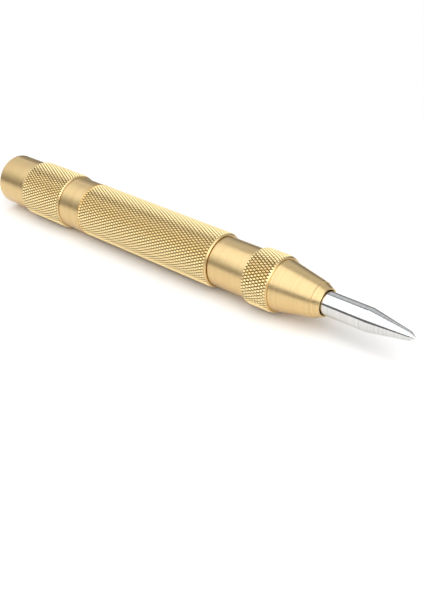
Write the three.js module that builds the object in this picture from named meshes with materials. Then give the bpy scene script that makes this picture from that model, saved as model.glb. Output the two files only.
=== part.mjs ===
// Automatic centre punch: a spring-loaded punch that strikes when its point is pushed against the work.
// Millimetres. The tool lies along +X with its point at +X, and rests on z = 0 under the middle of its length.
// Every turned piece is given as an outline of [distance from the tail end, radius] points, and spun about
// the tool's axis. The outer side of an outline runs from the tail towards the point.
import * as THREE from "three";

// ---- driving dimensions ----
const LENGTH = 152.4;
const CAP_KNURL_R = 8.65;
const CAP_PLAIN_R = 7.85;
const BODY_R = 8.0;
const NECK_R = 7.9;
const SLEEVE_R = 7.15;
const NOSE_RING_R = 8.05;
const POINT_R = 3.25;

const CAP_STEP_X = 12.2;
const CAP_END_X = 30.0;
const NECK_END_X = 38.8;
const BODY_END_X = 90.3;
const NOSE_START_X = 90.9;
const RING_START_X = 103.4;
const RING_END_X = 112.0;
const CONE_END_X = 124.0;
const NOSE_END_X = 126.2;
const TAPER_START_X = 139.0;
const TIP_CONE_X = 150.6;

const CHAMFER = 0.5;
const CAP_ROUND = 0.9;
const GAP = 0.3;

// Bores and the pieces inside them.
const THREAD_R = 6.2;
const THREAD_BORE_R = 6.45;
const THREAD_START_X = 16.5;
const SPRING_BORE_R = 5.0;
const FRONT_BORE_R = 5.4;
const FRONT_BORE_X = 75.0;
const FRONT_SPIGOT_END_X = 101.0;
const SEAT_X = 3.3;
const SEAT_THICKNESS = 2.0;
const HAMMER_START_X = 46.3;
const HAMMER_END_X = 75.0;
const BUSH_START_X = 75.3;
const BUSH_END_X = 83.0;
const PIN_START_X = 75.4;
const PIN_FLANGE_X = 99.5;
const POINT_START_X = 102.0;
const NOSE_SHOULDER_X = 112.0;

const ROUND_SIDES = 24;
const TURN_STEPS = 12;
const WIRE_SIDES = 6;

// The axis height that puts a flat of the widest ring on the ground.
const AXIS_Z = CAP_KNURL_R * Math.cos(Math.PI / ROUND_SIDES);

// ---- materials ----
function metal(color, roughness) {
  return new THREE.MeshStandardMaterial({ color, roughness, metalness: 1 });
}

const turnedBrass = metal(0xd9b46c, 0.28);
const innerBrass = metal(0xc9a25c, 0.4);
const polishedSteel = metal(0xc8c6c2, 0.18);
const hardenedSteel = metal(0x8e8f92, 0.35);
const springSteel = metal(0x77797d, 0.3);

// ---- helpers ----
function turned(name, material, outline) {
  const points = outline.map(([x, r]) => new THREE.Vector2(r, x));
  const geometry = new THREE.LatheGeometry(points, ROUND_SIDES, Math.PI / ROUND_SIDES);
  const mesh = new THREE.Mesh(geometry, material);
  mesh.name = name;
  return mesh;
}

// Points of a quarter-round corner from the end face to the side.
function roundedCorner(x, sideR, cornerR, steps) {
  const points = [];
  for (let i = 0; i <= steps; i += 1) {
    const angle = (i / steps) * (Math.PI / 2);
    points.push([x + cornerR * (1 - Math.sin(angle)), sideR - cornerR * (1 - Math.cos(angle))]);
  }
  return points.reverse();
}

// The centre line of a compression spring with one closed turn at each end.
class SpringCurve extends THREE.Curve {
  constructor(startX, endX, meanR, turns, wireR) {
    super();
    this.startX = startX + wireR;
    this.length = endX - startX - 2 * wireR;
    this.meanR = meanR;
    this.turns = turns;
    this.closedRise = 2.3 * wireR;
  }

  getPoint(t, target = new THREE.Vector3()) {
    const turn = t * this.turns;
    const openTurns = this.turns - 2;
    const openRise = (this.length - 2 * this.closedRise) / openTurns;
    const first = Math.min(turn, 1);
    const open = Math.min(Math.max(turn - 1, 0), openTurns);
    const last = Math.max(turn - 1 - openTurns, 0);
    const along = (first + last) * this.closedRise + open * openRise;
    const angle = turn * 2 * Math.PI;
    return target.set(
      this.meanR * Math.cos(angle),
      this.startX + along,
      this.meanR * Math.sin(angle),
    );
  }
}

function spring(name, startX, endX, meanR, turns, wireR) {
  const section = new THREE.Shape();
  for (let i = 0; i < WIRE_SIDES; i += 1) {
    const angle = (i / WIRE_SIDES) * 2 * Math.PI;
    const x = wireR * Math.cos(angle);
    const y = wireR * Math.sin(angle);
    if (i === 0) section.moveTo(x, y);
    else section.lineTo(x, y);
  }
  section.closePath();
  const geometry = new THREE.ExtrudeGeometry(section, {
    steps: turns * TURN_STEPS,
    extrudePath: new SpringCurve(startX, endX, meanR, turns, wireR),
  });
  const mesh = new THREE.Mesh(geometry, springSteel);
  mesh.name = name;
  return mesh;
}

// ---- outer pieces ----
// The adjusting cap: a plain rounded end, then a knurled grip, screwed over the rear of the body.
function tailCap() {
  const seatPocketR = 4.95;
  const springRoomR = 5.3;
  const springRoomEndX = 15.9;
  const pocketStartX = 3.0;
  return turned("tail_cap", turnedBrass, [
    [0, 0],
    ...roundedCorner(0, CAP_PLAIN_R, CAP_ROUND, 3),
    [CAP_STEP_X, CAP_PLAIN_R],
    [CAP_STEP_X, CAP_KNURL_R - CHAMFER],
    [CAP_STEP_X + CHAMFER, CAP_KNURL_R],
    [CAP_END_X - CHAMFER, CAP_KNURL_R],
    [CAP_END_X, CAP_KNURL_R - CHAMFER],
    [CAP_END_X, THREAD_BORE_R],
    [springRoomEndX, THREAD_BORE_R],
    [springRoomEndX, springRoomR],
    [SEAT_X + SEAT_THICKNESS, springRoomR],
    [SEAT_X + SEAT_THICKNESS, seatPocketR],
    [pocketStartX, seatPocketR],
    [pocketStartX, 0],
  ]);
}

// The barrel: a threaded rear spigot, a plain neck, the long knurled grip and a plain front spigot.
function bodyTube() {
  const shoulderX = CAP_END_X + GAP;
  return turned("body_tube", turnedBrass, [
    [THREAD_START_X, SPRING_BORE_R],
    [THREAD_START_X, THREAD_R - CHAMFER],
    [THREAD_START_X + CHAMFER, THREAD_R],
    [shoulderX, THREAD_R],
    [shoulderX, NECK_R],
    [NECK_END_X, NECK_R],
    [NECK_END_X + CHAMFER, BODY_R],
    [BODY_END_X - CHAMFER, BODY_R],
    [BODY_END_X, BODY_R - CHAMFER],
    [BODY_END_X, THREAD_R],
    [FRONT_SPIGOT_END_X, THREAD_R],
    [FRONT_SPIGOT_END_X, FRONT_BORE_R],
    [FRONT_BORE_X, FRONT_BORE_R],
    [FRONT_BORE_X, SPRING_BORE_R],
    [THREAD_START_X, SPRING_BORE_R],
  ]);
}

// The nose: a plain sleeve over the body's front spigot, a knurled ring, and a cone that guides the point.
function nosePiece() {
  const coneStartR = 7.2;
  const coneEndR = 4.95;
  const rimR = 4.05;
  const guideR = POINT_R + 0.25;
  const cavityR = 5.25;
  const sleeveEndX = FRONT_SPIGOT_END_X + GAP;
  return turned("nose_piece", turnedBrass, [
    [NOSE_START_X, THREAD_BORE_R],
    [NOSE_START_X, SLEEVE_R],
    [RING_START_X, SLEEVE_R],
    [RING_START_X, NOSE_RING_R - CHAMFER],
    [RING_START_X + CHAMFER, NOSE_RING_R],
    [RING_END_X - CHAMFER, NOSE_RING_R],
    [RING_END_X, NOSE_RING_R - CHAMFER],
    [RING_END_X, coneStartR],
    [CONE_END_X, coneEndR],
    [NOSE_END_X, rimR],
    [NOSE_END_X, guideR],
    [NOSE_SHOULDER_X, guideR],
    [NOSE_SHOULDER_X, cavityR],
    [sleeveEndX, cavityR],
    [sleeveEndX, THREAD_BORE_R],
    [NOSE_START_X, THREAD_BORE_R],
  ]);
}

// The hardened point: a socket for the drive pin, a head that the nose holds in, and a long taper.
function punchPoint() {
  const headR = 4.7;
  const headStartX = 109.0;
  const headEndX = NOSE_SHOULDER_X - GAP;
  const socketR = 2.05;
  const socketEndX = 107.0;
  const tipBaseR = 1.2;
  return turned("punch_point", polishedSteel, [
    [socketEndX, 0],
    [socketEndX, socketR],
    [POINT_START_X, socketR],
    [POINT_START_X, POINT_R],
    [headStartX, POINT_R],
    [headStartX, headR],
    [headEndX, headR],
    [headEndX, POINT_R],
    [TAPER_START_X, POINT_R],
    [TIP_CONE_X, tipBaseR],
    [LENGTH, 0],
  ]);
}

// ---- pieces inside ----
// The seat between the cap and the main spring, with a nub that centres the spring's last turn.
function springSeat() {
  const discR = 4.65;
  const nubR = 2.7;
  const nubLength = 3.0;
  const frontX = SEAT_X + SEAT_THICKNESS;
  return turned("spring_seat", hardenedSteel, [
    [SEAT_X, 0],
    [SEAT_X, discR],
    [frontX, discR],
    [frontX, nubR],
    [frontX + nubLength, nubR - CHAMFER],
    [frontX + nubLength, 0],
  ]);
}

// The main spring drives the hammer forward.
function mainSpring() {
  const wireR = 0.6;
  const meanR = 3.95;
  const turns = 13;
  const startX = SEAT_X + SEAT_THICKNESS + GAP;
  return spring("main_spring", startX, HAMMER_START_X - GAP, meanR, turns, wireR);
}

// The hammer: a spigot at the back inside the spring, and a bore at the front that the drive pin drops into.
function hammer() {
  const hammerR = 4.7;
  const spigotR = 2.7;
  const spigotLength = 4.0;
  const boreR = 1.8;
  const boreDepth = 16.0;
  const boreEndX = HAMMER_END_X - boreDepth;
  return turned("hammer", hardenedSteel, [
    [HAMMER_START_X - spigotLength, 0],
    [HAMMER_START_X - spigotLength, spigotR - CHAMFER],
    [HAMMER_START_X, spigotR],
    [HAMMER_START_X, hammerR - CHAMFER],
    [HAMMER_START_X + CHAMFER, hammerR],
    [HAMMER_END_X - CHAMFER, hammerR],
    [HAMMER_END_X, hammerR - CHAMFER],
    [HAMMER_END_X, boreR],
    [boreEndX, boreR],
    [boreEndX, 0],
  ]);
}

// The trip bush: stops the hammer, and its cone steers the drive pin into line.
function tripBush() {
  const outerR = 5.15;
  const throatR = 2.0;
  const throatEndX = 76.5;
  const mouthR = 3.9;
  return turned("trip_bush", innerBrass, [
    [BUSH_START_X, throatR],
    [BUSH_START_X, outerR],
    [BUSH_END_X, outerR],
    [BUSH_END_X, mouthR],
    [throatEndX, throatR],
    [BUSH_START_X, throatR],
  ]);
}

// The drive pin: a thin end that lifts the hammer, a cone, a shank, a spring flange and a front spigot.
function drivePin() {
  const thinR = 1.4;
  const coneStartX = 87.0;
  const coneEndX = 91.0;
  const shankR = 3.0;
  const flangeR = 4.9;
  const flangeEndX = POINT_START_X - GAP;
  const spigotR = 1.75;
  const spigotEndX = 106.7;
  return turned("drive_pin", hardenedSteel, [
    [PIN_START_X, 0],
    [PIN_START_X, thinR],
    [coneStartX, thinR],
    [coneEndX, shankR],
    [PIN_FLANGE_X, shankR],
    [PIN_FLANGE_X, flangeR],
    [flangeEndX, flangeR],
    [flangeEndX, spigotR],
    [spigotEndX, spigotR],
    [spigotEndX, 0],
  ]);
}

// The return spring pushes the drive pin and the point forward.
function returnSpring() {
  const wireR = 0.3;
  const meanR = 4.45;
  const turns = 7;
  return spring("return_spring", BUSH_END_X + GAP, PIN_FLANGE_X - GAP, meanR, turns, wireR);
}

// ---- assembly ----
// The outlines are spun about Y, so the tool is turned to put its axis on X.
const tool = new THREE.Group();
tool.add(
  tailCap(),
  bodyTube(),
  nosePiece(),
  punchPoint(),
  springSeat(),
  mainSpring(),
  hammer(),
  tripBush(),
  drivePin(),
  returnSpring(),
);
tool.rotation.z = -Math.PI / 2;
tool.position.set(-LENGTH / 2, 0, AXIS_Z);

const part = new THREE.Group();
part.add(tool);

export default part;
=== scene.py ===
"""Automatic centre punch in turned brass, with a diamond knurl and a polished steel point.

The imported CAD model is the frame. Each of its nodes is replaced by a fine mesh in the same place: turned
pieces are spun from an outline, the knurls are cut into the surface as pyramids, and the springs are
swept helices. The punch lies along X with its point at +X. Outlines are in millimetres from the tail end,
and everything else is in metres.
"""

import math

import bpy
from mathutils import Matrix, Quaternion, Vector


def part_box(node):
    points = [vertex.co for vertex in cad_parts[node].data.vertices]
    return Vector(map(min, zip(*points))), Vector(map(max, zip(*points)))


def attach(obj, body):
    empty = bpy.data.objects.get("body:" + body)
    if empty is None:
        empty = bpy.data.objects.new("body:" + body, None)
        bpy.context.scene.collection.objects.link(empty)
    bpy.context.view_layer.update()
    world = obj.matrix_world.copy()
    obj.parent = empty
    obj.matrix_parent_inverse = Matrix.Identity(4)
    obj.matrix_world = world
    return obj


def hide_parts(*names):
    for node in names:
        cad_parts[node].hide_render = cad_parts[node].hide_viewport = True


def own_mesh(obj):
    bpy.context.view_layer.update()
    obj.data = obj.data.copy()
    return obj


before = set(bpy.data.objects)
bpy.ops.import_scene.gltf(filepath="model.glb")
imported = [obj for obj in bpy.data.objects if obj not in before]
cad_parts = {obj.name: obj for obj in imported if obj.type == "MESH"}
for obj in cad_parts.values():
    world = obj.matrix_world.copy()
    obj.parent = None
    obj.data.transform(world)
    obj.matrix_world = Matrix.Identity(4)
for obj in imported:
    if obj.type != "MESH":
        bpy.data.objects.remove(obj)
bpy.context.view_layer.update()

MM = 0.001

# ---- places from the frame ----
CAP_LOW, CAP_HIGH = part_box("tail_cap")
TAIL_X = CAP_LOW[0]
AXIS_Z = (CAP_LOW[2] + CAP_HIGH[2]) / 2


def from_tail(x):
    """A place along the frame's X as millimetres from the tail end."""
    return (x - TAIL_X) / MM


CAP_END = from_tail(CAP_HIGH[0])
BODY_END = from_tail(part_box("body_tube")[1][0])
NOSE_START, NOSE_END = (from_tail(corner[0]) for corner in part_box("nose_piece"))
TOOL_END = from_tail(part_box("punch_point")[1][0])
NOSE_GAP = 0.12
GRIP_END = NOSE_START - NOSE_GAP

# ---- fineness of the meshes ----
SMOOTH_COLUMNS = 192
KNURL_SAMPLES = 4
ARC_STEPS = 12
WIRE_SIDES = 14
COIL_STEPS = 40
SHARP_ANGLE = math.radians(8.5)
WIRE_SHARP_ANGLE = math.radians(60)
NEAR_ZERO = 1e-6

# ---- knurls and threads ----
KNURL_HELIX = math.radians(26)
KNURL_PITCH = 0.93
KNURL_DEPTH = 0.36
KNURL_BLUNT = 0.74  # the share of a pyramid's height that is left under its flat top
KNURL_END_GAP = 0.2  # the least gap between a knurl's end and its lattice, in rows
THREAD_PITCH = 1.25
THREAD_DEPTH = 0.5
THREAD_FLANK = 2.4  # above 2, so that the crests are flat
THREAD_SAMPLES = 8


# ---- outlines ----
# An outline is a list of (distance from the tail end, radius), in millimetres.
def arc(centre_x, centre_r, radius, start_deg, end_deg):
    """Points of an arc. The angle runs from +X towards growing radius."""
    points = []
    for i in range(ARC_STEPS + 1):
        angle = math.radians(start_deg + (end_deg - start_deg) * i / ARC_STEPS)
        points.append((centre_x + radius * math.cos(angle), centre_r + radius * math.sin(angle)))
    return points


def stretch(start, end, steps):
    """Points on a straight line, both ends included."""
    points = []
    for i in range(steps + 1):
        t = i / steps
        points.append((start[0] + (end[0] - start[0]) * t, start[1] + (end[1] - start[1]) * t))
    return points


class Knurl:
    """A diamond knurl rolled into a band: two families of V grooves that cross and leave pyramids."""

    def __init__(self, start, end, radius, chamfer):
        self.start = start
        self.end = end
        self.radius = radius
        self.chamfer = chamfer
        teeth = 2 * round(math.pi * radius / KNURL_PITCH)
        self.length = 2 * math.pi * radius / teeth / math.tan(KNURL_HELIX)
        self.columns = teeth * KNURL_SAMPLES

    def rows(self):
        """The rows of vertices along the band: its two ends, and the knurl's own lattice between them."""
        step = self.length / KNURL_SAMPLES
        first = math.ceil((self.start + KNURL_END_GAP * step) / step)
        last = math.floor((self.end - KNURL_END_GAP * step) / step)
        return [self.start] + [i * step for i in range(first, last + 1)] + [self.end]

    def lattice_row(self, x):
        """The number of the lattice row that is nearest to a place along the band."""
        return round(x / self.length * KNURL_SAMPLES)

    def height(self, x, column):
        """0 at the bottom of a groove, 1 at the top of a pyramid."""
        around = column / KNURL_SAMPLES
        along = x / self.length
        first = abs((around + along) % 1.0 - 0.5) * 2.0
        second = abs((around - along) % 1.0 - 0.5) * 2.0
        return min(1.0 - first, 1.0 - second)

    def surface(self, x, column, columns):
        """The radius, and the height, at a place on the band."""
        height = min(self.height(x, column), KNURL_BLUNT) / KNURL_BLUNT
        radius = self.radius - KNURL_DEPTH * (1.0 - height)
        edge = min(x - self.start, self.end - x)
        return min(radius, self.radius - self.chamfer + edge), height


class Thread:
    """A right-hand V thread along a spigot or inside a bore, cut from its crest radius."""

    def __init__(self, start, end, crest_radius, outside=True):
        self.start = start
        self.end = end
        self.crest = crest_radius
        self.depth = THREAD_DEPTH if outside else -THREAD_DEPTH

    def rows(self):
        count = round(abs(self.end - self.start) / THREAD_PITCH * THREAD_SAMPLES)
        return [self.start + (self.end - self.start) * i / count for i in range(count + 1)]

    def surface(self, x, column, columns):
        """The radius at a place on the thread, and 1 for the height, because a thread has no knurl."""
        phase = (x / THREAD_PITCH - column / columns) % 1.0
        height = min(1.0, THREAD_FLANK * abs(phase - 0.5))
        edge = min(abs(x - self.start), abs(x - self.end)) / THREAD_PITCH
        return self.crest - self.depth * (1.0 - height * min(1.0, edge)), 1.0


# ---- mesh building ----
def finish_mesh(name, vertices, faces, numbers=None, sharp_angle=SHARP_ANGLE):
    """An object with a smooth-shaded mesh, and with named lists of numbers, one a vertex, kept on it."""
    mesh = bpy.data.meshes.new(name)
    mesh.from_pydata(vertices, [], faces)
    mesh.update()
    for attribute, values in (numbers or {}).items():
        layer = mesh.attributes.new(attribute, "FLOAT", "POINT")
        layer.data.foreach_set("value", values)
    mesh.shade_smooth()
    mesh.set_sharp_from_angle(angle=sharp_angle)
    piece = bpy.data.objects.new(name, mesh)
    bpy.context.scene.collection.objects.link(piece)
    return piece


def turned(name, sections):
    """A closed turned piece. Sections are outlines, knurls and threads, in order round the outline."""
    knurls = [s for s in sections if isinstance(s, Knurl)]
    columns = knurls[0].columns if knurls else SMOOTH_COLUMNS
    rows = []
    for section in sections:
        if isinstance(section, list):
            rows += [(x, r, None) for x, r in section]
        else:
            rows += [(x, None, section) for x in section.rows()]
    vertices, heights, bands, starts = [], [], [], []
    for x, r, cut in rows:
        starts.append(len(vertices))
        on_axis = cut is None and r < NEAR_ZERO
        for column in range(1 if on_axis else columns):
            radius, height = (r, 1.0) if cut is None else cut.surface(x, column, columns)
            angle = 2 * math.pi * column / columns
            y = radius * MM * math.cos(angle)
            z = AXIS_Z + radius * MM * math.sin(angle)
            vertices.append((TAIL_X + x * MM, y, z))
            heights.append(height)
            bands.append(1.0 if isinstance(cut, Knurl) else 0.0)
    starts.append(len(vertices))
    faces = []
    starts_on_axis = starts[1] - starts[0] == 1  # such an outline ends on the axis too, and isn't a loop
    for i in range(len(rows) - 1 if starts_on_axis else len(rows)):
        j = (i + 1) % len(rows)
        faces += ring_faces(starts[i:i + 2], starts[j:j + 2], columns, rows[i], rows[j])
    return finish_mesh(name, vertices, faces, {"knurl_height": heights, "knurl_band": bands})


def ring_faces(ring_a, ring_b, columns, row_a, row_b):
    """The faces between two neighbouring rows. Knurls are split along the bottoms of their grooves."""
    a, b = ring_a[0], ring_b[0]
    a_is_point = ring_a[1] - a == 1
    b_is_point = ring_b[1] - b == 1
    if a_is_point and b_is_point:
        return []
    same_knurl = row_a[2] is row_b[2] and isinstance(row_a[2], Knurl)
    knurl = row_a[2] if same_knurl else None
    lattice = knurl.lattice_row(min(row_a[0], row_b[0])) if knurl else 0
    faces = []
    for column in range(columns):
        after = (column + 1) % columns
        if a_is_point:
            faces.append((a, b + after, b + column))
        elif b_is_point:
            faces.append((a + column, a + after, b))
        elif knurl and (column + lattice) % 2:
            faces.append((a + column, a + after, b + column))
            faces.append((a + after, b + after, b + column))
        elif knurl:
            faces.append((a + column, a + after, b + after))
            faces.append((a + column, b + after, b + column))
        else:
            faces.append((a + column, a + after, b + after, b + column))
    return faces


def swept(name, centre_line, wire_radius):
    """A closed wire swept along a list of points in metres."""
    vertices, faces = [], []
    count = len(centre_line)
    for i, point in enumerate(centre_line):
        before = centre_line[max(i - 1, 0)]
        after = centre_line[min(i + 1, count - 1)]
        tangent = (after - before).normalized()
        outward = Vector((0, point.y, point.z - AXIS_Z)).normalized()
        across = tangent.cross(outward).normalized()
        outward = across.cross(tangent)
        for k in range(WIRE_SIDES):
            angle = 2 * math.pi * k / WIRE_SIDES
            offset = outward * math.cos(angle) + across * math.sin(angle)
            vertices.append(point + offset * wire_radius)
    for i in range(count - 1):
        for k in range(WIRE_SIDES):
            after = (k + 1) % WIRE_SIDES
            a, b = i * WIRE_SIDES, (i + 1) * WIRE_SIDES
            faces.append((a + k, a + after, b + after, b + k))
    faces.append(tuple(range(WIRE_SIDES - 1, -1, -1)))
    faces.append(tuple(range((count - 1) * WIRE_SIDES, count * WIRE_SIDES)))
    return finish_mesh(name, [tuple(v) for v in vertices], faces, sharp_angle=WIRE_SHARP_ANGLE)


CLOSED_RISE = 2.1  # the rise of a spring's closed turn, in wire radii


def spring(name, node, mean_radius, wire_radius, turns):
    """A compression spring with a closed turn at each end, in the place of its CAD node."""
    low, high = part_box(node)
    start = low[0] + wire_radius * MM
    length = high[0] - low[0] - 2 * wire_radius * MM
    closed_rise = CLOSED_RISE * wire_radius * MM
    open_turns = turns - 2
    open_rise = (length - 2 * closed_rise) / open_turns
    line = []
    for i in range(turns * COIL_STEPS + 1):
        turn = i / COIL_STEPS
        ends = min(turn, 1) + max(turn - 1 - open_turns, 0)
        x = start + ends * closed_rise + min(max(turn - 1, 0), open_turns) * open_rise
        angle = 2 * math.pi * turn
        y = mean_radius * MM * math.cos(angle)
        z = AXIS_Z + mean_radius * MM * math.sin(angle)
        line.append(Vector((x, y, z)))
    return swept(name, line, wire_radius * MM)


# ---- pieces ----
# Sizes that several lines share have names. The rest of an outline reads as a drawing, point by point.
CAP_PLAIN_R = 7.85
CAP_ROUND = 0.9
CAP_STEP = 12.2
FACING_RINGS = 13
FACING_DEPTH = 0.012
CAP_KNURL_R = (CAP_HIGH[2] - CAP_LOW[2]) / 2 / MM
THREAD_CREST_R = 6.3
THREAD_ROOT_R = 5.8
THREAD_BORE_R = 6.45
NECK_R = 7.9
NECK_END = 38.8
BODY_R = 8.0
SPRING_BORE_R = 5.0
BUSH_BORE_R = 5.4
BUSH_SHOULDER = 75.0
SLEEVE_R = 7.15
RING_START = 103.4
RING_END = 112.0
RING_R = 8.05
RIM_WIDTH = 0.3
RIM_START = 0.28  # a little less than the width, so that the rim's first row isn't the knurl's last
CONE_START_R = 7.2
CONE_END = 124.0
CONE_END_R = 4.98
POINT_BORE_R = 3.5
POINT_R = 3.25
TAPER_START = 139.0
TAPER_END = 150.6
TAPER_END_R = 1.25


def round_edge(x, radius, size, rear=True):
    """A rounded outer edge: at the rear end of a cylinder, or at its front end."""
    centre_x = x + size if rear else x - size
    start, end = (180, 90) if rear else (90, 0)
    return arc(centre_x, radius - size, size, start, end)


def rim(end, radius):
    """The narrow bevel between the front end of a knurl and the flat face after it."""
    return [(end - RIM_START, radius - 0.3), (end, radius - 0.55)]


def facing_rings(inner_r, outer_r):
    """The fine rings that a facing tool leaves on the tail end, up to where its rounded corner starts."""
    points = []
    for i in range(2 * FACING_RINGS):
        depth = FACING_DEPTH if i % 2 else 0.0
        points.append((depth, inner_r + (outer_r - inner_r) * i / (2 * FACING_RINGS)))
    return points


def tail_cap():
    """The adjusting cap, with a plain end, a knurled grip and the female thread."""
    dimple = [(0.35, 0.0), (0.3, 0.7), (0.0, 1.3)]
    end_face = facing_rings(1.5, CAP_PLAIN_R - CAP_ROUND)
    plain = round_edge(0.0, CAP_PLAIN_R, CAP_ROUND)
    plain += [(CAP_STEP - 0.05, CAP_PLAIN_R), (CAP_STEP, CAP_PLAIN_R + 0.04)]
    knurl = Knurl(CAP_STEP, CAP_END - RIM_WIDTH, CAP_KNURL_R, chamfer=0.45)
    front = rim(CAP_END, CAP_KNURL_R)
    mouth = [(CAP_END, THREAD_BORE_R + 0.5), (CAP_END - 0.5, THREAD_BORE_R)]
    thread = Thread(CAP_END - 0.6, 16.2, THREAD_BORE_R, outside=False)
    room = [(15.9, THREAD_BORE_R), (15.9, 5.3), (5.3, 5.3), (5.3, 4.95), (3.0, 4.95), (3.0, 0.0)]
    return turned("tail_cap_fine", [dimple, end_face, plain, knurl, front, mouth, thread, room])


def body_tube():
    """The barrel, with its rear thread, plain neck, long knurled grip and front thread."""
    rear = [(16.5, SPRING_BORE_R), (16.5, THREAD_ROOT_R)]
    rear_thread = Thread(16.6, 29.0, THREAD_CREST_R)
    shoulder = CAP_END + 0.08
    neck = [
        (29.1, THREAD_ROOT_R), (shoulder, THREAD_ROOT_R),
        (shoulder, NECK_R - 0.1), (shoulder + 0.1, NECK_R),
        (NECK_END - 0.15, NECK_R), (NECK_END - 0.05, BODY_R + 0.04), (NECK_END + 0.12, BODY_R + 0.04),
    ]
    knurl = Knurl(NECK_END + 0.14, GRIP_END - 0.45, BODY_R, chamfer=0.12)
    lip = [(GRIP_END - 0.43, BODY_R - 0.22), (GRIP_END, BODY_R - 0.5), (GRIP_END, 6.2), (91.4, THREAD_ROOT_R)]
    front_thread = Thread(91.5, 100.9, THREAD_CREST_R)
    bore = [
        (BODY_END, THREAD_ROOT_R), (BODY_END, BUSH_BORE_R),
        (BUSH_SHOULDER, BUSH_BORE_R), (BUSH_SHOULDER, SPRING_BORE_R),
    ]
    return turned("body_tube_fine", [rear, rear_thread, neck, knurl, lip, front_thread, bore])


def nose_piece():
    """The nose, with a plain sleeve, a knurled ring and the cone that guides the point."""
    sleeve = [(NOSE_START, THREAD_BORE_R), *round_edge(NOSE_START, SLEEVE_R, 0.15)]
    sleeve += [(RING_START - 0.12, SLEEVE_R), (RING_START - 0.06, SLEEVE_R - 0.1), (RING_START, SLEEVE_R)]
    knurl = Knurl(RING_START, RING_END - RIM_WIDTH, RING_R, chamfer=0.5)
    front = rim(RING_END, RING_R)
    cone = stretch((RING_END, CONE_START_R), (CONE_END, CONE_END_R), 12)
    chamfer = stretch((CONE_END + 0.05, 4.80), (NOSE_END - 0.08, 3.95), 3)
    mouth = [(NOSE_END, 3.87), (NOSE_END, 3.62), (NOSE_END - 0.12, POINT_BORE_R)]
    inside = [(112.0, POINT_BORE_R), (112.0, 5.25), (101.3, 5.25), (101.3, THREAD_BORE_R)]
    return turned("nose_piece_fine", [sleeve, knurl, front, cone, chamfer, mouth, inside])


def punch_point():
    """The hardened point, ground to a long taper and a short conical tip."""
    socket = [(107.0, 0.0), (107.0, 2.05), (102.2, 2.05), (102.0, 2.25)]
    rear = [(102.0, 3.05), (102.2, POINT_R), (109.0, POINT_R)]
    collar = [(109.0, 4.5), (109.2, 4.7), (111.5, 4.7), (111.7, 4.5), (111.7, POINT_R)]
    shank = stretch((112.0, POINT_R), (TAPER_START, POINT_R), 12)
    taper = stretch((TAPER_START, POINT_R), (TAPER_END, TAPER_END_R), 14)[1:]
    tip = stretch((TAPER_END, TAPER_END_R), (TOOL_END - 0.12, 0.13), 4)[1:]
    very_end = [(TOOL_END - 0.02, 0.05), (TOOL_END, 0.0)]
    return turned("punch_point_fine", [socket, rear, collar, shank, taper, tip, very_end])


def spring_seat():
    """The disc that the main spring presses on, with a nub inside the spring's first turns."""
    disc = [(3.3, 0.0), (3.3, 4.5), (3.45, 4.65), (5.15, 4.65), (5.3, 4.5)]
    nub = [(5.3, 2.9), (5.35, 2.7), (7.9, 2.4), (8.3, 2.0), (8.3, 0.0)]
    return turned("spring_seat_fine", [disc, nub])


def hammer():
    """The striker, with a nub inside the main spring and a bore that the drive pin drops into."""
    rear = [(42.3, 0.0), (42.3, 1.9), (42.6, 2.2), (46.0, 2.6), (46.2, 2.7), (46.3, 2.9)]
    side = [(46.3, 4.3), (46.7, 4.7), (47.5, 4.7), (48.0, 4.55), (72.5, 4.55), (73.0, 4.7), (74.6, 4.7)]
    bore = [(75.0, 4.3), (75.0, 2.1), (74.7, 1.8), (59.0, 1.8), (58.6, 0.0)]
    return turned("hammer_fine", [rear, side, bore])


def trip_bush():
    """The bush whose cone steers the drive pin into line."""
    outer = [(75.3, 2.2), (75.3, 4.95), (75.5, 5.15), (82.8, 5.15), (83.0, 4.95)]
    throat = [(83.0, 4.0), (82.8, 3.85), *stretch((82.5, 3.75), (76.5, 2.0), 4), (75.5, 2.0)]
    return turned("trip_bush_fine", [outer, throat])


def drive_pin():
    """The stepped pin: a thin end, a thick end with a flange, and a spigot in the point's socket."""
    thin = [(75.4, 0.0), (75.4, 1.2), (75.6, 1.4), (87.0, 1.4), *stretch((87.1, 1.43), (91.0, 3.0), 4)]
    flange = [(99.3, 3.0), (99.5, 3.2), (99.5, 4.75), (99.65, 4.9), (101.5, 4.9), (101.7, 4.7)]
    spigot = [(101.7, 1.9), (101.9, 1.75), (106.5, 1.75), (106.7, 1.5), (106.7, 0.0)]
    return turned("drive_pin_fine", [thin, flange, spigot])


# ---- materials ----
QUARTER_TURN = 0.25


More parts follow.
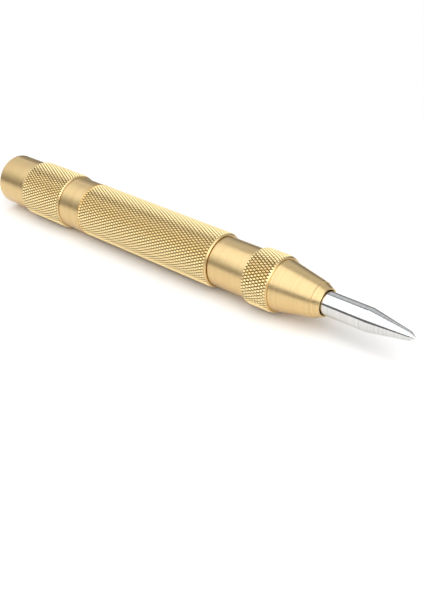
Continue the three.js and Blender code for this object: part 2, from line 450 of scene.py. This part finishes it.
class Nodes:
    """The node tree of one metal. Its methods add nodes and join them up."""

    def __init__(self, name):
        self.material = bpy.data.materials.new(name)
        self.material.use_nodes = True
        self.tree = self.material.node_tree
        self.shader = self.tree.nodes["Principled BSDF"]
        self.shader.inputs["Metallic"].default_value = 1.0
        coordinates = self.tree.nodes.new("ShaderNodeTexCoord")
        self.position = coordinates.outputs["Object"]

    def join(self, source, target):
        self.tree.links.new(source, target)

    def noise(self, scale, stretch_xyz=(1, 1, 1), detail=3.0, roughness=0.55):
        """Noise with about as many features in a metre as its scale says."""
        mapping = self.tree.nodes.new("ShaderNodeMapping")
        mapping.inputs["Scale"].default_value = stretch_xyz
        self.join(self.position, mapping.inputs["Vector"])
        node = self.tree.nodes.new("ShaderNodeTexNoise")
        node.inputs["Scale"].default_value = scale
        node.inputs["Detail"].default_value = detail
        node.inputs["Roughness"].default_value = roughness
        self.join(mapping.outputs["Vector"], node.inputs["Vector"])
        return node.outputs["Fac"]

    def value_of(self, attribute):
        """A number kept on the mesh."""
        node = self.tree.nodes.new("ShaderNodeAttribute")
        node.attribute_name = attribute
        return node.outputs["Fac"]

    def spread(self, value, low, high, from_low=0.3, from_high=0.7):
        """A value between two limits, stretched or squeezed to lie between two others."""
        node = self.tree.nodes.new("ShaderNodeMapRange")
        node.inputs["From Min"].default_value = from_low
        node.inputs["From Max"].default_value = from_high
        node.inputs["To Min"].default_value = low
        node.inputs["To Max"].default_value = high
        self.join(value, node.inputs["Value"])
        return node.outputs["Result"]

    def mix(self, factor, colour_a, colour_b):
        """A colour between two, each a colour or a socket."""
        node = self.tree.nodes.new("ShaderNodeMix")
        node.data_type = "RGBA"
        self.join(factor, node.inputs["Factor"])
        for colour, socket in ((colour_a, node.inputs[6]), (colour_b, node.inputs[7])):
            if isinstance(colour, tuple):
                socket.default_value = (*colour, 1.0)
            else:
                self.join(colour, socket)
        return node.outputs[2]

    def bump(self, heights):
        """Bumps laid over one another, each (height socket, distance in metres, strength)."""
        normal = None
        for height, distance, strength in heights:
            node = self.tree.nodes.new("ShaderNodeBump")
            node.inputs["Distance"].default_value = distance
            node.inputs["Strength"].default_value = strength
            self.join(height, node.inputs["Height"])
            if normal is not None:
                self.join(normal, node.inputs["Normal"])
            normal = node.outputs["Normal"]
        self.join(normal, self.shader.inputs["Normal"])

    def brushed_round_axis(self, amount):
        """Marks too fine to see, round the X axis. They draw highlights out along it."""
        tangent = self.tree.nodes.new("ShaderNodeTangent")
        tangent.direction_type = "RADIAL"
        tangent.axis = "X"
        self.join(tangent.outputs["Tangent"], self.shader.inputs["Tangent"])
        self.shader.inputs["Anisotropic"].default_value = amount
        self.shader.inputs["Anisotropic Rotation"].default_value = QUARTER_TURN


LATHE = (1.0, 0.012, 0.012)  # noise stretched like this changes mostly along X, so it makes rings
FINE_RINGS = 9000
COARSE_RINGS = 1500
TARNISH_PATCHES = 90
TARNISH_AMOUNT = 0.35
TARNISH_RANGE = (0.35, 0.75)  # the part of the noise that is spread over the whole change
ROUGHNESS_RANGE = (0.42, 0.58)
COARSE_STRENGTH, FINE_STRENGTH = 0.35, 0.5
PIT_HEIGHT, RIDGE_HEIGHT = 0.10, 0.50  # a knurl's colour changes from painted pit shade to painted ridge highlight between these heights


def turned_metal(name, light, dark, roughness, marks, anisotropy, knurl=None):
    """Metal with lathe marks round the X axis, a little uneven tarnish, and a knurl with painted shade in its
    pits and a painted highlight on its tops.

    Roughness is a range, and marks is the depth of the fine marks in metres. A knurl is given as the
    colours of its pits, painted shade, and of its ridges, painted highlight.
    """
    metal = Nodes(name)
    fine = metal.noise(FINE_RINGS, LATHE, detail=4.0, roughness=0.7)
    coarse = metal.noise(COARSE_RINGS, LATHE, detail=2.0)
    tarnish = metal.noise(TARNISH_PATCHES, detail=5.0)
    colour = metal.mix(metal.spread(coarse, 0.0, 1.0), light, dark)
    colour = metal.mix(metal.spread(tarnish, 0.0, TARNISH_AMOUNT, *TARNISH_RANGE), colour, dark)
    if knurl:
        pit_shade, ridge_highlight = knurl
        # The knurl is painted dark in its pits as shade and bright on its ridges as a highlight, by the
        # mesh's knurl height.
        height = metal.value_of("knurl_height")
        cut = metal.mix(metal.spread(height, 0.0, 1.0, PIT_HEIGHT, RIDGE_HEIGHT), pit_shade, ridge_highlight)
        colour = metal.mix(metal.value_of("knurl_band"), colour, cut)
    metal.join(colour, metal.shader.inputs["Base Color"])
    metal.join(metal.spread(fine, *roughness, *ROUGHNESS_RANGE), metal.shader.inputs["Roughness"])
    metal.bump([(coarse, marks * 2.0, COARSE_STRENGTH), (fine, marks, FINE_STRENGTH)])
    metal.brushed_round_axis(anisotropy)
    return metal.material


FILM_PATCHES = 600
DRAWING_MARKS = 7000
DRAWING_DEPTH = 0.000004
DRAWING_STRENGTH = 0.4
WIRE_ROUGHNESS = (0.22, 0.42)


def wire_metal(name, light, dark):
    """Drawn spring wire: dark, with a thin uneven film of oil."""
    metal = Nodes(name)
    film = metal.noise(FILM_PATCHES, detail=4.0)
    metal.join(metal.mix(metal.spread(film, 0.0, 1.0), light, dark), metal.shader.inputs["Base Color"])
    metal.join(metal.spread(film, *WIRE_ROUGHNESS), metal.shader.inputs["Roughness"])
    metal.bump([(metal.noise(DRAWING_MARKS, detail=2.0), DRAWING_DEPTH, DRAWING_STRENGTH)])
    return metal.material


BRASS_LIGHT = (0.75, 0.555, 0.275)
BRASS_DARK = (0.68, 0.487, 0.23)
# The knurl's ridge colour is a painted highlight on the pyramid tops, and its pit colour is painted shade in
# the grooves.
BRASS_RIDGE_PAINTED_HIGHLIGHT = (1.0, 0.79, 0.41)
BRASS_PIT_PAINTED_SHADE = (0.11, 0.05, 0.012)
STEEL_LIGHT = (0.72, 0.71, 0.69)
STEEL_DARK = (0.60, 0.59, 0.575)
GROUND_LIGHT = (0.46, 0.46, 0.47)
GROUND_DARK = (0.33, 0.33, 0.34)
BUSH_LIGHT = (0.70, 0.50, 0.24)
BUSH_DARK = (0.60, 0.41, 0.17)
WIRE_LIGHT = (0.34, 0.34, 0.35)
WIRE_DARK = (0.22, 0.21, 0.21)


def make_materials():
    return {
        "brass": turned_metal(
            "turned_brass", BRASS_LIGHT, BRASS_DARK,
            roughness=(0.29, 0.39), marks=0.000002, anisotropy=0.3, knurl=(BRASS_PIT_PAINTED_SHADE, BRASS_RIDGE_PAINTED_HIGHLIGHT),
        ),
        "steel": turned_metal(
            "polished_steel", STEEL_LIGHT, STEEL_DARK,
            roughness=(0.08, 0.13), marks=0.0000012, anisotropy=0.5,
        ),
        "inner_steel": turned_metal(
            "ground_steel", GROUND_LIGHT, GROUND_DARK,
            roughness=(0.28, 0.42), marks=0.000003, anisotropy=0.4,
        ),
        "inner_brass": turned_metal(
            "bush_brass", BUSH_LIGHT, BUSH_DARK,
            roughness=(0.32, 0.45), marks=0.000005, anisotropy=0.4,
        ),
        "wire": wire_metal("spring_wire", WIRE_LIGHT, WIRE_DARK),
    }


# ---- assembly ----
def place(piece, node, body, material):
    """The piece takes the place of its CAD node, and moves with one body."""
    piece.data.materials.append(material)
    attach(piece, body)
    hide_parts(node)


def build_punch(metals):
    place(tail_cap(), "tail_cap", "cap", metals["brass"])
    place(body_tube(), "body_tube", "barrel", metals["brass"])
    place(nose_piece(), "nose_piece", "barrel", metals["brass"])
    place(punch_point(), "punch_point", "point", metals["steel"])
    place(spring_seat(), "spring_seat", "spring_seat", metals["inner_steel"])
    place(hammer(), "hammer", "hammer", metals["inner_steel"])
    place(trip_bush(), "trip_bush", "barrel", metals["inner_brass"])
    place(drive_pin(), "drive_pin", "point", metals["inner_steel"])
    build_springs(metals["wire"])


def build_springs(wire):
    """The main spring and the return spring, each swept in the place of its CAD node."""
    main = spring("main_spring_fine", "main_spring", mean_radius=3.95, wire_radius=0.6, turns=13)
    place(main, "main_spring", "spring_seat", wire)
    squeeze(main)
    back = spring("return_spring_fine", "return_spring", mean_radius=4.45, wire_radius=0.3, turns=7)
    place(back, "return_spring", "barrel", wire)
    squeeze(back)


def squeeze(piece):
    """The spring gets a mesh of its own, shared with no other object."""
    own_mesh(piece)


# ---- surroundings ----
FLOOR_HALF = 0.4
FLOOR_COLOUR = (0.95, 0.92, 0.88, 1.0)
FLOOR_ROUGHNESS = 0.8
FLOOR_SPECULAR = 0.1
FADE_OVAL = (0.6, 1.0, 1.0)  # the fade reaches further along X, as the tool does
FADE_START, FADE_END = 0.10, 0.19


def floor():
    """A pale floor, in place of the second punch that the photo's tool rests on."""
    mesh = bpy.data.meshes.new("floor")
    half = FLOOR_HALF
    corners = [(-half, -half, 0.0), (half, -half, 0.0), (half, half, 0.0), (-half, half, 0.0)]
    mesh.from_pydata(corners, [], [(0, 1, 2, 3)])
    ground = bpy.data.objects.new("floor", mesh)
    bpy.context.scene.collection.objects.link(ground)
    material = bpy.data.materials.new("pale_floor")
    material.use_nodes = True
    shader = material.node_tree.nodes["Principled BSDF"]
    shader.inputs["Base Color"].default_value = FLOOR_COLOUR
    shader.inputs["Roughness"].default_value = FLOOR_ROUGHNESS
    shader.inputs["Specular IOR Level"].default_value = FLOOR_SPECULAR
    fade_out(material.node_tree, shader)
    mesh.materials.append(material)


def fade_out(tree, shader):
    """The floor is solid round the tool, and fades into the white backdrop further out."""
    spot = tree.nodes.new("ShaderNodeTexCoord")
    oval = tree.nodes.new("ShaderNodeMapping")
    oval.inputs["Scale"].default_value = FADE_OVAL
    reach = tree.nodes.new("ShaderNodeVectorMath")
    reach.operation = "LENGTH"
    fade = tree.nodes.new("ShaderNodeMapRange")
    fade.interpolation_type = "SMOOTHSTEP"
    fade.inputs["From Min"].default_value = FADE_START
    fade.inputs["From Max"].default_value = FADE_END
    fade.inputs["To Min"].default_value = 1.0
    fade.inputs["To Max"].default_value = 0.0
    tree.links.new(spot.outputs["Object"], oval.inputs["Vector"])
    tree.links.new(oval.outputs["Vector"], reach.inputs[0])
    tree.links.new(reach.outputs["Value"], fade.inputs["Value"])
    tree.links.new(fade.outputs["Result"], shader.inputs["Alpha"])


def area_light(name, position, aim, size, power, colour=(1.0, 1.0, 1.0), turn_deg=0):
    """A rectangular softbox that faces its aim, turned about its own centre line. Power is in watts."""
    light = bpy.data.lights.new(name, "AREA")
    light.shape = "RECTANGLE"
    light.size, light.size_y = size
    light.energy = power
    light.color = colour
    lamp = bpy.data.objects.new(name, light)
    lamp.location = position
    facing = (Vector(aim) - Vector(position)).to_track_quat("-Z", "Y")
    lamp.rotation_euler = (facing @ Quaternion((0, 0, 1), math.radians(turn_deg))).to_euler()
    bpy.context.scene.collection.objects.link(lamp)


ROOM_COLOUR = (1.0, 0.985, 0.96, 1.0)
ROOM_STRENGTH = 0.19
BACKDROP_COLOUR = (1.0, 1.0, 1.0, 1.0)
COOL_WHITE = (0.95, 1.0, 1.07)


def lighting():
    """Four softboxes in a dim room, and a white backdrop that only the camera sees."""
    build_world()
    area_light(
        "overhead_softbox", (0.06, -0.29, 0.55), aim=(0.06, -0.028, -0.012),
        size=(1.4, 1.28), power=8.4, colour=COOL_WHITE, turn_deg=5,
    )
    area_light(
        "back_softbox", (-0.12, 0.72, 0.60), aim=(-0.12, 0.35, 0.0),
        size=(1.7, 0.75), power=2.3, colour=COOL_WHITE,
    )
    area_light("point_side_softbox", (0.9, -0.30, 0.42), aim=(0.0, 0.0, 0.0), size=(0.8, 0.7), power=4.5)
    area_light("tail_side_softbox", (-0.85, 0.0, 0.36), aim=(0.0, 0.0, 0.0), size=(1.1, 0.7), power=1.6)
    bpy.context.scene.view_settings.view_transform = "Standard"


def build_world():
    """Rays from the camera meet the backdrop, and all other rays meet the dim room."""
    world = bpy.data.worlds.new("studio")
    bpy.context.scene.world = world
    world.use_nodes = True
    tree = world.node_tree
    room = tree.nodes["Background"]
    room.inputs["Color"].default_value = ROOM_COLOUR
    room.inputs["Strength"].default_value = ROOM_STRENGTH
    backdrop = tree.nodes.new("ShaderNodeBackground")
    backdrop.inputs["Color"].default_value = BACKDROP_COLOUR
    ray = tree.nodes.new("ShaderNodeLightPath")
    choose = tree.nodes.new("ShaderNodeMixShader")
    tree.links.new(ray.outputs["Is Camera Ray"], choose.inputs[0])
    tree.links.new(room.outputs[0], choose.inputs[1])
    tree.links.new(backdrop.outputs[0], choose.inputs[2])
    tree.links.new(choose.outputs[0], tree.nodes["World Output"].inputs["Surface"])


CAMERA_AZIMUTH = math.radians(42.3)
CAMERA_ELEVATION = math.radians(28.83)
CAMERA_DISTANCE = 0.2863
CAMERA_AIM = Vector((0.0068, 0.0037, -0.0081))
CAMERA_LENS = 59.06
CAMERA_SENSOR = 36.0
CAMERA_NEAR = 0.01


def camera():
    """The camera of the photo. Its azimuth runs from -Y towards +X."""
    data = bpy.data.cameras.new("camera")
    data.lens = CAMERA_LENS
    data.sensor_width = CAMERA_SENSOR
    data.clip_start = CAMERA_NEAR
    eye = bpy.data.objects.new("camera", data)
    level = math.cos(CAMERA_ELEVATION)
    back = Vector((
        math.sin(CAMERA_AZIMUTH) * level,
        -math.cos(CAMERA_AZIMUTH) * level,
        math.sin(CAMERA_ELEVATION),
    ))
    eye.location = CAMERA_AIM + back * CAMERA_DISTANCE
    eye.rotation_euler = back.to_track_quat("Z", "Y").to_euler()
    bpy.context.scene.collection.objects.link(eye)
    bpy.context.scene.camera = eye


camera()
floor()
lighting()
build_punch(make_materials())
